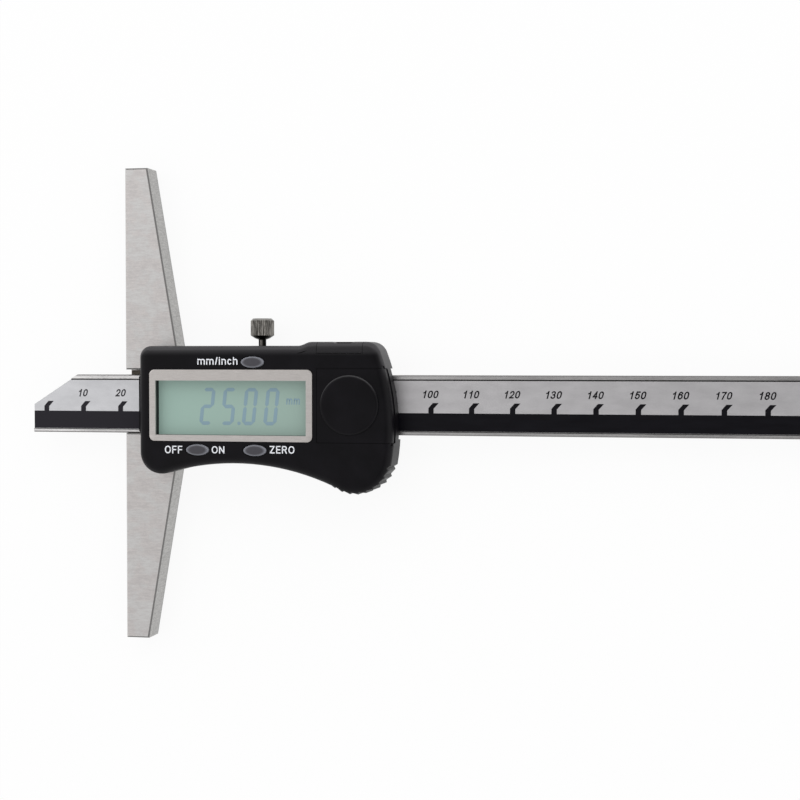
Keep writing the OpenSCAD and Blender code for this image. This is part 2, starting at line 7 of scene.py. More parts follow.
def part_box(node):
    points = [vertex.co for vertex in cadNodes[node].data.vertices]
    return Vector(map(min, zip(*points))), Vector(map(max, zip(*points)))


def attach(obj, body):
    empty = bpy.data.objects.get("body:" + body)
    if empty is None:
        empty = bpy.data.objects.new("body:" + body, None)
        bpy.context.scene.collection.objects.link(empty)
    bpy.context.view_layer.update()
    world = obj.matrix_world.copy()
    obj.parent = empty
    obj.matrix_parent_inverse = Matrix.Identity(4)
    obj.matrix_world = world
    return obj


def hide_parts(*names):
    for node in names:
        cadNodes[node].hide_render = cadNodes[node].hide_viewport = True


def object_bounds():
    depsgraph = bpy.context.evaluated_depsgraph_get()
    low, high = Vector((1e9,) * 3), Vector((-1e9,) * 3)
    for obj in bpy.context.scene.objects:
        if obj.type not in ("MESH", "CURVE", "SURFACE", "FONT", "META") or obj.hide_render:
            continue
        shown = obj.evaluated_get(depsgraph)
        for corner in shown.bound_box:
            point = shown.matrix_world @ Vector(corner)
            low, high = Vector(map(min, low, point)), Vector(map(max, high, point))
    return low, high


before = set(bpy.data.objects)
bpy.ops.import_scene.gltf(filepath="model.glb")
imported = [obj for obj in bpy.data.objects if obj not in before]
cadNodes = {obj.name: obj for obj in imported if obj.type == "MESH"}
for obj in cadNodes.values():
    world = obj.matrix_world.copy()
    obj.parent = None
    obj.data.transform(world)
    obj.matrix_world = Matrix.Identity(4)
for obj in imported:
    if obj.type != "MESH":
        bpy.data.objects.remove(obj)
cadLow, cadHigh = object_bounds()
scene = bpy.context.scene
mm = 0.001
print("frame loaded,", len(cadNodes), "nodes")


# Shader maths: a socket that can take part in sums
class Shade:
    def __init__(self, tree, socket):
        self.tree = tree
        self.socket = socket

    def node(self, kind, settings, values, out=0):
        made = self.tree.nodes.new("ShaderNode" + kind)
        for name, value in settings.items():
            setattr(made, name, value)
        for name, value in values.items():
            plug(made.inputs[name], value)
        return Shade(self.tree, made.outputs[out])

    def sum(self, operation, *values):
        return self.node("Math", {"operation": operation}, dict(enumerate(values)))

    def __add__(self, other):
        return self.sum("ADD", self, other)

    def __sub__(self, other):
        return self.sum("SUBTRACT", self, other)

    def __rsub__(self, other):
        return self.sum("SUBTRACT", other, self)

    def __mul__(self, other):
        return self.sum("MULTIPLY", self, other)

    __radd__ = __add__
    __rmul__ = __mul__

    def size(self):  # without its sign
        return self.sum("ABSOLUTE", self)

    def facing(self):  # which way the surface faces
        return Shade(self.tree, self.tree.nodes["Texture Coordinate"].outputs["Normal"])

    def within(self, low, high, soft):  # 1 from low to high, and 0 beyond
        return self.smooth(low - soft, low) * (1 - self.smooth(high, high + soft))

    def along(self, axis):
        return self.node("SeparateXYZ", {}, {"Vector": self}, "XYZ".index(axis))

    def distance(self, place):
        return self.node("VectorMath", {"operation": "DISTANCE"}, {0: self, 1: place}, 1)

    def centred(self, place, unit):  # place in metres, moved to the middle; unit is one step in mm
        scale = [1 / (u * mm) for u in unit]
        shift = [-p * s for p, s in zip(place, scale)]
        return self.node("Mapping", {}, {"Vector": self, "Location": shift, "Scale": scale})

    def noise(self, unit, detail=3, rough=0.6):  # 0 to 1, changing over about unit mm each way
        return self.node("TexNoise", {}, {"Vector": self.centred((0, 0, 0), unit), "Scale": 1,
                                          "Detail": detail, "Roughness": rough})

    def smooth(self, low, high):  # 0 below low and 1 above high
        return self.node("MapRange", {"interpolation_type": "SMOOTHSTEP"},
                         {"Value": self, "From Min": low, "From Max": high})

    def between(self, first, second):  # a colour: first where this is 0, second where it is 1
        return self.node("Mix", {"data_type": "RGBA"}, {0: self, 6: first, 7: second}, 2)

    def bump(self, depth):  # depth in mm
        return self.node("Bump", {}, {"Height": self, "Distance": depth * mm, "Strength": 1})


def plug(socket, value):
    if isinstance(value, Shade):
        value.tree.links.new(value.socket, socket)
    else:
        socket.default_value = value


def rgb(*levels):  # a colour as a picture shows it, 0 to 255
    return tuple(((v / 255 + 0.055) / 1.055) ** 2.4 if v > 10 else v / 3294.6 for v in levels) + (1,)


def newMaterial(name):
    made = bpy.data.materials.new(name)
    made.use_nodes = True
    tree = made.node_tree
    return made, Shade(tree, tree.nodes.new("ShaderNodeTexCoord").outputs["Object"])


def finish(made, values):
    shader = made.node_tree.nodes["Principled BSDF"]
    for name, value in values.items():
        plug(shader.inputs[name], value)
    return made


# Metals: grain is the ground finish, fuzz its finest part and cloud the slow change over the surface, all
# three as lengths in mm along x, y and z. Edge is the painted shade on the ground chamfers, side the painted
# shade on the upright faces, and depth is the bump in mm.
steelLooks = {
    "baseSteel": {"dark": rgb(193, 189, 188), "light": rgb(216, 211, 209), "cool": rgb(211, 210, 209),
                  "edge": rgb(120, 119, 118), "side": (rgb(148, 147, 145), rgb(192, 191, 189)),
                  "grain": (2.2, 0.4, 1.6), "fuzz": (0.4, 0.16, 0.3), "cloud": (4.5, 3, 5),
                  "rough": 0.4, "depth": 0.002},
    # the tip colour is a painted reflection, paler towards the beam's tip
    "beamSteel": {"dark": rgb(186, 184, 184), "light": rgb(212, 210, 210), "tip": rgb(246, 244, 244),
                  "edge": rgb(122, 120, 120), "side": (rgb(140, 138, 138), rgb(160, 158, 158)),
                  "grain": (9, 0.3, 0.3), "fuzz": (1.2, 0.15, 0.15), "cloud": (14, 3, 3),
                  "rough": 0.27, "depth": 0.001},
    "frameSteel": {"dark": rgb(168, 166, 164), "light": rgb(200, 198, 196),
                   "grain": (4, 0.3, 0.3), "fuzz": (0.5, 0.15, 0.15), "cloud": (8, 6, 6),
                   "rough": 0.4, "depth": 0.004},
    "screwSteel": {"dark": rgb(96, 94, 92), "light": rgb(128, 126, 124),
                   "grain": (0.5, 0.5, 0.5), "fuzz": (0.15, 0.15, 0.15), "cloud": (2, 2, 2),
                   "rough": 0.38, "depth": 0.004},
    "gibSteel": {"dark": rgb(44, 41, 37), "light": rgb(90, 85, 78),
                 "grain": (3, 0.2, 0.2), "fuzz": (0.4, 0.2, 0.2), "cloud": (5, 5, 5),
                 "rough": 0.5, "depth": 0.004},
    "contactMetal": {"dark": rgb(170, 150, 110), "light": rgb(206, 188, 146),
                     "grain": (1.5, 0.2, 0.2), "fuzz": (0.2, 0.2, 0.2), "cloud": (3, 3, 3),
                     "rough": 0.3, "depth": 0.002},
    "cellSteel": {"dark": rgb(178, 178, 180), "light": rgb(216, 216, 216),
                  "grain": (1, 1, 1), "fuzz": (0.15, 0.15, 0.15), "cloud": (4, 4, 4),
                  "rough": 0.24, "depth": 0.002},
}


def groundEdges(place, look, color, grain, fuzz):  # painted shade: upright faces a little darker, chamfers as dark lines, and the foot of the upright faces darker
    up = place.facing().along("Z").size()
    side = 1 - up.smooth(0.1, 0.3)
    paintedSideShade = (fuzz * 0.6 + grain * 0.4).smooth(0.36, 0.64).between(*look["side"])
    chamfer = (1 - (up - 0.7).size().smooth(0.1, 0.2)) * (0.85 + fuzz * 0.3)
    kept = place.facing().along("X").smooth(-0.5, -0.3)  # the measuring face keeps a bright edge
    foot = side * (1 - place.along("Z").smooth(0.5 * mm, 0.9 * mm)) * 0.6
    return (chamfer * kept + foot).between(side.between(color, paintedSideShade), look["edge"])


def scaleGlue(place):  # painted shade in the beam's recess round the scale, and a thin line of it on the rails beside it
    low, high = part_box("scale_label")
    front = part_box("beam")[1].z
    across = place.along("Y").within(low.y - 0.2 * mm, high.y + 0.33 * mm, 0.01 * mm)
    return across * place.along("Z").within(front - 0.67 * mm, front + 0.01 * mm, 0.01 * mm)


def fromTip(place):  # 0 at the beam's tip, where a painted reflection makes the steel and the scale paler, and 1 from the display unit on
    return place.along("X").smooth(0, 60 * mm)


def steel(name):
    look = steelLooks[name]
    made, place = newMaterial(name)
    grain = place.noise(look["grain"], 4, 0.65)
    fuzz = place.noise(look["fuzz"], 2)
    cloud = place.noise(look["cloud"], 2)
    tone = grain * 0.4 + fuzz * 0.3 + cloud * 0.3
    light = look["light"]
    if "cool" in look:
        light = cloud.smooth(0.42, 0.58).between(look["light"], look["cool"])
    # painted reflection: paler towards the beam's tip
    if "tip" in look:
        light = fromTip(place).between(look["tip"], light)
    color = tone.smooth(0.34, 0.66).between(look["dark"], light)
    metal = 1
    # painted shade on the chamfers, the upright faces and their foot
    if "edge" in look:
        color = groundEdges(place, look, color, grain, fuzz)
    # painted shade, not metal, in the recess round the scale
    if name == "beamSteel":
        recessShade = scaleGlue(place)
        color = recessShade.between(color, scaleLook["recessShade"])
        metal = 1 - recessShade
    return finish(made, {
        "Base Color": color,
        "Metallic": metal,
        "Roughness": look["rough"] + (cloud - 0.5) * 0.12 + (fuzz - 0.5) * 0.1,
        "Normal": (grain * 0.7 + fuzz * 0.3).bump(look["depth"])})


# The lock screw: knurled round its head and bright at the crown, with painted shade under the head and
# a painted highlight down the middle of the neck
lockLook = {"valley": rgb(80, 77, 74), "ridge": rgb(158, 155, 150), "crown": rgb(140, 138, 135),
            "under": rgb(17, 16, 15), "shine": rgb(120, 116, 112), "crownDepth": 0.35, "bandEnd": 4.15,
            "neckStart": 5.2, "neckShine": 0.3, "rough": 0.34}


def lockSteel():
    look = lockLook
    made, place = newMaterial("lockSteel")
    low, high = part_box("lock_screw")
    down = high.y - place.along("Y")
    grain = place.noise((0.25, 2.4, 0.25), 3)
    crown = 1 - down.smooth(look["crownDepth"] * mm, (look["crownDepth"] + 0.25) * mm)
    # painted shade under the head, and a painted highlight down the middle of the neck
    under = down.smooth(look["bandEnd"] * mm, (look["bandEnd"] + 0.3) * mm)
    off = (place.along("X") - (low.x + high.x) / 2).size()
    shine = (1 - off.smooth(look["neckShine"] / 2 * mm, look["neckShine"] * 1.6 * mm)) * down.smooth(
        look["neckStart"] * mm, (look["neckStart"] + 0.3) * mm)
    knurl = grain.smooth(0.36, 0.64).between(look["valley"], look["ridge"])
    body = under.between(crown.between(knurl, look["crown"]), look["under"])
    return finish(made, {
        "Base Color": shine.between(body, look["shine"]),
        "Metallic": 1,
        "Roughness": look["rough"] + (grain - 0.5) * 0.2,
        "Normal": grain.bump(0.005)})


# Moulded plastics and rubber: a fine spark-eroded grain, and on the housing a painted highlight on its edges
plasticLooks = {
    "housingBlack": {"dark": rgb(5, 4, 7), "light": rgb(12, 10, 15), "paintedSheen": rgb(64, 63, 65), "rough": 0.42,
                     "specular": 0.13, "grain": 0.16, "cloud": 7, "depth": 0.006},
    "chipBlack": {"dark": rgb(20, 20, 20), "light": rgb(34, 34, 34), "rough": 0.6, "specular": 0.4,
                  "grain": 0.2, "cloud": 2, "depth": 0.01},
    "connectorRubber": {"dark": rgb(190, 182, 160), "light": rgb(214, 208, 190), "rough": 0.6,
                        "specular": 0.4, "grain": 0.3, "cloud": 3, "depth": 0.01},
    "switchMetal": {"dark": rgb(150, 150, 152), "light": rgb(190, 190, 192), "rough": 0.4,
                    "specular": 0.6, "grain": 0.2, "cloud": 1, "depth": 0.005},
}


def rubbedEdges(place):  # painted highlight on rounded edges, most where they face +y, on the upper right-facing wall and along the top
    facing = place.facing()
    rounded = 1 - (facing.along("Z") - 0.6).size().smooth(0.12, 0.38)
    upper = 0.06 + (facing.along("Y") - facing.along("X") * 0.2).smooth(0.05, 0.6) * 0.94
    corner = facing.along("X").smooth(0.5, 0.9) * place.along("Y").smooth(6 * mm, 11 * mm)
    crest = place.along("Y").smooth(12 * mm, 13.4 * mm)
    return rounded * upper + corner * 0.8 + crest * 0.4


def plastic(name):
    look = plasticLooks[name]
    made, place = newMaterial(name)
    grain = place.noise([look["grain"]] * 3, 2, 0.5)
    cloud = place.noise([look["cloud"]] * 3, 3)
    color = (cloud * 0.7 + grain * 0.3).smooth(0.35, 0.7).between(look["dark"], look["light"])
    if "paintedSheen" in look:
        # painted highlight on the housing's rounded, upper and right edges
        color = rubbedEdges(place).between(color, look["paintedSheen"])
    return finish(made, {
        "Base Color": color,
        "Roughness": look["rough"] + (cloud - 0.5) * 0.14,
        "Specular IOR Level": look["specular"],
        "Normal": grain.bump(look["depth"])})


# Keys: a painted highlight towards the rim, which starts and ends at a share of the half length and half
# width in mm; height doesn't count
keyLook = {"middle": rgb(62, 61, 67), "rim": rgb(132, 134, 142), "rough": 0.42,
           "rimFrom": 0.62, "rimTo": 1.05, "half": (2.95, 1.38, 1000)}


def keyRubber(node):  # grey rubber, with a painted highlight towards the rim
    low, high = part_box(node)
    made, place = newMaterial(node + "Rubber")
    middle = ((low.x + high.x) / 2, (low.y + high.y) / 2, high.z)
    spread = place.centred(middle, keyLook["half"]).distance((0, 0, 0))
    grain = place.noise((0.12, 0.12, 0.12), 2)
    # painted highlight towards the rim
    rim = (spread + (grain - 0.5) * 0.15).smooth(keyLook["rimFrom"], keyLook["rimTo"])
    return finish(made, {
        "Base Color": rim.between(keyLook["middle"], keyLook["rim"]),
        "Roughness": keyLook["rough"] + (grain - 0.5) * 0.2,
        "Specular IOR Level": 0.4,
        "Normal": grain.bump(0.004)})


# The beam's scale: a silver label, a black band and numbers printed on it; the tip colours are a painted
# reflection
scaleLook = {"silverDark": rgb(188, 186, 188), "silverLight": rgb(207, 205, 207), "silverRough": 0.4,
             "tipDark": rgb(196, 196, 199), "tipLight": rgb(214, 214, 217),
             "blackDark": rgb(3, 2, 7), "blackLight": rgb(8, 7, 14), "tipBlack": rgb(34, 32, 38),
             # the recess colour is painted shade round the scale
             "blackRough": 0.4, "recessShade": rgb(22, 20, 20),
             "numberHeight": 1.9, "numberMiddle": 2.72, "firstMark": -21.5, "step": 10, "count": 20,
             "slant": 0.24, "weight": 0.175, "gap": 0.13, "thick": 0.03}


def labelSilver():
    made, place = newMaterial("labelSilver")
    speck = place.noise((0.16, 0.16, 0.16), 2)
    cloud = place.noise((6, 2.5, 2), 3)
    tone = (speck * 0.5 + cloud * 0.5).smooth(0.3, 0.7)
    tip = tone.between(scaleLook["tipDark"], scaleLook["tipLight"])
    rest = tone.between(scaleLook["silverDark"], scaleLook["silverLight"])
    return finish(made, {
        # painted reflection: paler towards the beam's tip
        "Base Color": fromTip(place).between(tip, rest),
        "Metallic": 0.82,
        "Roughness": scaleLook["silverRough"] + (speck - 0.5) * 0.16,
        "Normal": speck.bump(0.003)})


def bandBlack():
    made, place = newMaterial("bandBlack")
    speck = place.noise((0.2, 0.2, 0.2), 2)
    cloud = place.noise((8, 1.5, 2), 3)
    tone = (speck * 0.4 + cloud * 0.6).smooth(0.3, 0.7)
    rest = tone.between(scaleLook["blackDark"], scaleLook["blackLight"])
    return finish(made, {
        # painted reflection: paler towards the beam's tip
        "Base Color": fromTip(place).between(scaleLook["tipBlack"], rest),
        "Roughness": scaleLook["blackRough"] + (cloud - 0.5) * 0.2,
        "Specular IOR Level": 0.15,
        "Normal": speck.bump(0.002)})


def boardGreen():
    made, place = newMaterial("boardGreen")
    weave = place.noise((0.4, 0.4, 0.4), 2)
    tracks = place.noise((1.2, 0.25, 1), 1).smooth(0.52, 0.56)
    return finish(made, {
        "Base Color": (tracks * 0.6 + weave * 0.3).between(rgb(18, 62, 40), rgb(48, 118, 78)),
        "Roughness": 0.42 - tracks * 0.1,
        "Normal": (tracks + weave * 0.3).bump(0.03)})


# The display: a grey-green polariser over the glass, with faint blue figures. Lengths are in mm: bar is a
# segment's width, and rise how far the ink's middle stands off the glass. The share of the bar's width that
# is left at its pointed ends is barEnd.
# glow is painted light: the glass and its figures give off a little of their own colour, which evens out the
# shade of the bezel's recess
displayLook = {"left": rgb(135, 159, 150), "right": rgb(132, 151, 143), "rough": 0.3, "glow": 0.35,
               "ink": rgb(112, 134, 147), "inkPale": rgb(120, 142, 151),
               "figures": "2500", "pointAfter": 1, "pointBack": 0.1,
               "firstDigit": 23.2, "pitch": 5.48, "digitWidth": 3.35, "low": -4.97, "high": 4.2,
               "bar": 0.88, "barGap": 0.12, "barEnd": 0.12, "slant": 0.11, "thick": 0.03, "rise": 0.02,
               "unitPlace": (45.1, 0.93), "unitSize": (3.5, 1.5), "weight": 0.19, "gap": 0.2}


def displayGlass():
    made, place = newMaterial("displayGlass")
    low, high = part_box("display_glass")
    across = place.along("X").smooth(low.x, high.x)
    cloud = place.noise((5, 5, 5), 3)
    grain = place.noise((0.1, 0.1, 0.1), 1)
    color = (across * 0.8 + cloud * 0.2).between(displayLook["left"], displayLook["right"])
    return finish(made, {
        "Base Color": color,
        # painted light: the glass glows a little
        "Emission Color": color,
        "Emission Strength": displayLook["glow"],
        "Roughness": displayLook["rough"] + (cloud - 0.5) * 0.1,
        "Specular IOR Level": 0.3,
        "Normal": grain.bump(0.001)})


def figureInk():
    made, place = newMaterial("figureInk")
    grain = place.noise((0.3, 0.3, 0.3), 2)
    color = grain.between(displayLook["ink"], displayLook["inkPale"])
    return finish(made, {
        "Base Color": color,
        # painted light: the figures glow a little
        "Emission Color": color,
        "Emission Strength": displayLook["glow"],
        "Roughness": 0.5,
        "Specular IOR Level": 0.2})


# The bezel: brushed along its length; bevel is its rounded edge in mm
bezelLook = {"dark": rgb(179, 174, 171), "light": rgb(202, 197, 194), "rough": 0.36, "bevel": 0.14}


def bezelSilver():
    made, place = newMaterial("bezelSilver")
    grain = place.noise((3, 0.1, 0.1), 3)
    speck = place.noise((0.14, 0.14, 0.14), 2)
    return finish(made, {
        "Base Color": (grain * 0.5 + speck * 0.5).smooth(0.35, 0.65).between(
            bezelLook["dark"], bezelLook["light"]),
        "Metallic": 0.6,
        "Roughness": bezelLook["rough"] + (grain - 0.5) * 0.15,
        "Normal": (grain * 0.5 + speck * 0.5).bump(0.002)})


def printWhite():  # the housing's lettering
    made, place = newMaterial("printWhite")
    speck = place.noise((0.15, 0.15, 0.15), 2)
    return finish(made, {
        "Base Color": speck.between(rgb(228, 231, 238), rgb(246, 248, 252)),
        "Roughness": 0.5 + speck * 0.1,
        "Specular IOR Level": 0.3,
        "Normal": speck.bump(0.003)})


# Dress the frame's own nodes
materials = {name: steel(name) for name in steelLooks}
materials.update({name: plastic(name) for name in plasticLooks})
for made in (lockSteel(), labelSilver(), bandBlack(), boardGreen(), displayGlass(), figureInk(),
             bezelSilver(), printWhite()):
    materials[made.name] = made
nodeFinish = {
    "beam": "beamSteel", "scale_strip": "boardGreen", "scale_label": "labelSilver",
    "scale_band": "bandBlack", "base": "baseSteel", "slider_frame": "frameSteel",
    "base_screws": "screwSteel", "gib_strip": "gibSteel", "gib_screws": "screwSteel",
    "lock_screw": "lockSteel", "circuit_board": "boardGreen", "chip": "chipBlack",
    "button_switches": "switchMetal", "glass_connectors": "connectorRubber",
    "display_glass": "displayGlass", "display_bezel": "bezelSilver", "front_housing": "housingBlack",
    "rear_housing": "housingBlack", "button_cell": "cellSteel", "negative_contact": "contactMetal",
    "positive_contact": "contactMetal", "battery_cover": "housingBlack",
    "port_cover": "housingBlack", "port_contacts": "contactMetal", "housing_screws": "screwSteel"}


def dress(piece, material):
    piece.data.materials.clear()
    piece.data.materials.append(material)


for node, finishName in nodeFinish.items():
    for slot in cadNodes[node].material_slots:
        slot.material = materials[finishName]
print("materials made and given to the nodes")


# Modelling helpers
def deselect():
    bpy.ops.object.select_all(action="DESELECT")


def work(piece):  # the only one selected, and active
    deselect()
    piece.select_set(True)
    bpy.context.view_layer.objects.active = piece


def fitOut(piece, name, body, material):  # its name, finish and body
    piece.name = name
    dress(piece, material)
    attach(piece, body)
    return piece


def addModifier(piece, kind, settings):
    made = piece.modifiers.new(kind.lower(), kind)
    for name, value in settings.items():
        setattr(made, name, value)
    bpy.ops.object.modifier_apply(modifier=made.name)


def weldedCopy(node):  # the node's own form, with its loose triangles joined
    piece = bpy.data.objects.new(node, cadNodes[node].data.copy())
    scene.collection.objects.link(piece)
    work(piece)
    bpy.ops.mesh.customdata_custom_splitnormals_clear()
    bpy.ops.object.mode_set(mode="EDIT")
    bpy.ops.mesh.select_all(action="SELECT")
    bpy.ops.mesh.remove_doubles(threshold=0.002 * mm)
    bpy.ops.object.mode_set(mode="OBJECT")
    return piece


def roundedCopy(node, name, body, material, angle, bevel=0):
    piece = weldedCopy(node)
    if bevel:
        addModifier(piece, "BEVEL", {"width": bevel * mm, "segments": 2, "limit_method": "ANGLE",
                                     "angle_limit": math.radians(50)})
    bpy.ops.object.shade_smooth_by_angle(angle=math.radians(angle))
    addModifier(piece, "WEIGHTED_NORMAL", {"keep_sharp": True})
    fitOut(piece, name, body, material)
    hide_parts(node)
    return piece


# Mouldings, keys and bezel with their rounded edges shown smooth, up to an angle in degrees
smoothUpTo = {"moulding": 32, "key": 40, "bezel": 30}
mouldings = {"front_housing": ("front_shell", "slider"), "rear_housing": ("rear_shell", "slider"),
             "battery_cover": ("battery_lid", "battery_cover"), "port_cover": ("port_lid", "port_cover")}
keys = {"unit_button": "unit_key", "power_button": "power_key", "zero_button": "zero_key"}
for node, (name, body) in mouldings.items():
    roundedCopy(node, name, body, materials["housingBlack"], smoothUpTo["moulding"])
for node, name in keys.items():
    roundedCopy(node, name, node, keyRubber(node), smoothUpTo["key"])
roundedCopy("display_bezel", "bezel_frame", "slider", materials["bezelSilver"],
            smoothUpTo["bezel"], bezelLook["bevel"])
print("housing, covers, keys and bezel smoothed")


# Lettering drawn as strokes: a letter is its width, as a share of its height, and its strokes, in a box from
# 0 to 1 both ways
def arc(x, y, wide, high, start, end):
    steps = max(3, round(abs(end - start) / 20))
    turns = [math.radians(start + (end - start) * i / steps) for i in range(steps + 1)]
    return [(x + wide * math.cos(t), y + high * math.sin(t)) for t in turns]


def ring(y, high, straight=0.0):  # round top and bottom, with straight sides between
    top = arc(0.5, y + straight, 0.5, high - straight, 0, 180)
    return top + arc(0.5, y - straight, 0.5, high - straight, 180, 360) + [(1, y + straight)]


def arch(left, right, foot=0.0):  # one leg of an m, n or h, with its shoulder
    middle = (left + right) / 2
    return arc(middle, 0.5, middle - left, 0.24, 180, 0) + [(right, foot)]


stem = [(0, 0), (0, 1)]
shortStem = [(0, 0), (0, 0.74)]
letters = {
    "0": (0.62, [ring(0.5, 0.5, 0.16)]),
    "1": (0.62, [[(0.66, 0), (0.66, 1)], [(0.2, 0.74), (0.46, 0.79), (0.66, 0.98)]]),
    "2": (0.62, [arc(0.5, 0.7, 0.48, 0.3, 165, -25) + [(0.62, 0.36), (0.06, 0.02)], [(0, 0), (1, 0)]]),
    "3": (0.62, [arc(0.46, 0.76, 0.44, 0.24, 160, -90), arc(0.46, 0.26, 0.52, 0.26, 90, -160)]),
    "4": (0.62, [[(0.76, 0), (0.76, 1)], [(0.76, 1), (0, 0.26)], [(0, 0.26), (1, 0.26)]]),
    "5": (0.62, [[(0.18, 1), (0.92, 1)], [(0.18, 1), (0.06, 0.5)], arc(0.48, 0.33, 0.5, 0.33, 130, -160)]),
    "6": (0.62, [ring(0.32, 0.32), arc(0.52, 0.58, 0.5, 0.42, 35, 180) + [(0.02, 0.32)]]),
    "7": (0.62, [[(0, 1), (1, 1)], [(1, 1), (0.55, 0.5), (0.34, 0)]]),
    "8": (0.62, [ring(0.26, 0.26), arc(0.5, 0.77, 0.43, 0.23, 0, 360)]),
    "9": (0.62, [ring(0.68, 0.32), arc(0.48, 0.42, 0.5, 0.42, -145, 0) + [(0.98, 0.68)]]),
    "m": (1.0, [shortStem, arch(0, 0.5), arch(0.5, 1)]),
    "/": (0.34, [[(0, 0), (1, 1)]]),
    "i": (0.17, [shortStem, [(0, 0.98), (0, 1)]]),
    "n": (0.6, [shortStem, arch(0, 1)]),
    "c": (0.57, [arc(0.5, 0.37, 0.5, 0.37, 45, 315)]),
    "h": (0.6, [stem, arch(0, 1)]),
    "O": (0.78, [ring(0.5, 0.5, 0.08)]),
    "F": (0.58, [stem, [(0, 1), (1, 1)], [(0, 0.5), (0.9, 0.5)]]),
    "N": (0.7, [stem, [(0, 1), (1, 0)], [(1, 0), (1, 1)]]),
    "Z": (0.66, [[(0, 1), (1, 1)], [(0.98, 0.98), (0.02, 0.02)], [(0, 0), (1, 0)]]),
    "E": (0.58, [stem, [(0, 1), (1, 1)], [(0, 0.5), (0.92, 0.5)], [(0, 0), (1, 0)]]),
    "R": (0.68, [stem, [(0, 1), (0.6, 1)] + arc(0.6, 0.75, 0.36, 0.25, 80, -90) + [(0, 0.5)],
                 [(0.6, 0.48), (0.96, 0)]])}


def leaning(slant):  # a turn of the upright to the right, as in italics
    lean = Matrix.Identity(4)
    lean[0][1] = slant
    return lean


def printText(words, look):  # weight, gap and slant are shares of the height
    deselect()
    thick = look["weight"]
    curve = bpy.data.curves.new(words, "CURVE")
    curve.dimensions = "3D"
    curve.bevel_depth = thick / 2
    curve.bevel_resolution = 1
    curve.use_fill_caps = True
    pen = 0
    for letter in words:
        width, strokes = letters[letter]
        for stroke in strokes:
            points = [Vector((pen + x * (width - thick), y * (1 - thick), 0)) for x, y in stroke]
            points[0] += (points[0] - points[1]).normalized() * thick / 2
            points[-1] += (points[-1] - points[-2]).normalized() * thick / 2
            line = curve.splines.new("POLY")
            line.points.add(len(points) - 1)
            for spot, point in zip(line.points, points):
                spot.co = (*point, 1)
        pen += width + look["gap"]
    piece = bpy.data.objects.new(words, curve)
    scene.collection.objects.link(piece)
    work(piece)
    bpy.ops.object.convert(target="MESH")
    bpy.ops.object.shade_flat()
    bpy.context.object.data.transform(leaning(look["slant"]))
    bpy.ops.object.origin_set(type="ORIGIN_GEOMETRY", center="BOUNDS")
    return bpy.context.object


def setDown(piece, middle, size, thick):  # middle in metres; size in mm, or just a height
    x, y, z = piece.dimensions
    tall = size[1] * mm / y
    wide = size[0] * mm / x if size[0] else tall
    piece.location = middle
    piece.scale = (wide, tall, thick * mm / z)
    bpy.ops.object.transform_apply(location=True, rotation=True, scale=True)


# The housing's words: what each says, its middle and its width in mm
wordLook = {"weight": 0.145, "gap": 0.18, "slant": 0, "thick": 0.03, "height": 1.9, "words": {
    "unit_words": ("mm/inch", 26.6, 10.84, 10.3), "off_words": ("OFF", 15.25, -11.05, 4.5),
    "on_words": ("ON", 26.75, -10.98, 3.3), "zero_words": ("ZERO", 43.0, -10.8, 6.3)}}
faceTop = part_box("front_housing")[1].z
for name, (words, x, y, width) in wordLook["words"].items():
    piece = printText(words, wordLook)
    setDown(piece, (x * mm, y * mm, faceTop + wordLook["thick"] / 2 * mm), (width, wordLook["height"]),
            wordLook["thick"])
    fitOut(piece, name, "slider", materials["printWhite"])

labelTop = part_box("scale_label")[1].z
for i in range(1, scaleLook["count"] + 1):
    reading = i * scaleLook["step"]
    number = printText(str(reading), scaleLook)
    middle = ((scaleLook["firstMark"] + reading) * mm, scaleLook["numberMiddle"] * mm,
              labelTop + scaleLook["thick"] / 2 * mm)
    setDown(number, middle, (0, scaleLook["numberHeight"]), scaleLook["thick"])
    fitOut(number, "number_" + str(reading), "beam", materials["bandBlack"])
print("words and numbers printed")


# Display figures: a bar with pointed ends, in two lengths, copied to each lit segment
segmentsOf = {"0": "abcdef", "2": "abged", "5": "afgcd"}


def segmentBar(length, look):  # its length is from point to point
    deselect()
    bpy.ops.mesh.primitive_cube_add(size=1)
    piece = bpy.context.object
    piece.scale = ((length - look["bar"]) * mm, look["bar"] * mm, look["thick"] * mm)
    bpy.ops.object.transform_apply(scale=True)
    for side in (-1, 1):
        bpy.ops.object.mode_set(mode="EDIT")
        bpy.ops.mesh.select_mode(type="FACE")
        bpy.ops.mesh.select_all(action="DESELECT")
        bpy.ops.object.mode_set(mode="OBJECT")
        for face in piece.data.polygons:
            face.select = face.normal.x * side > 0.9
        bpy.ops.object.mode_set(mode="EDIT")
        out = side * look["bar"] / 2 * mm
        bpy.ops.mesh.extrude_region_move(TRANSFORM_OT_translate={"value": (out, 0, 0)})
        bpy.ops.transform.resize(value=(1, look["barEnd"], 1))
        bpy.ops.object.mode_set(mode="OBJECT")
    return piece


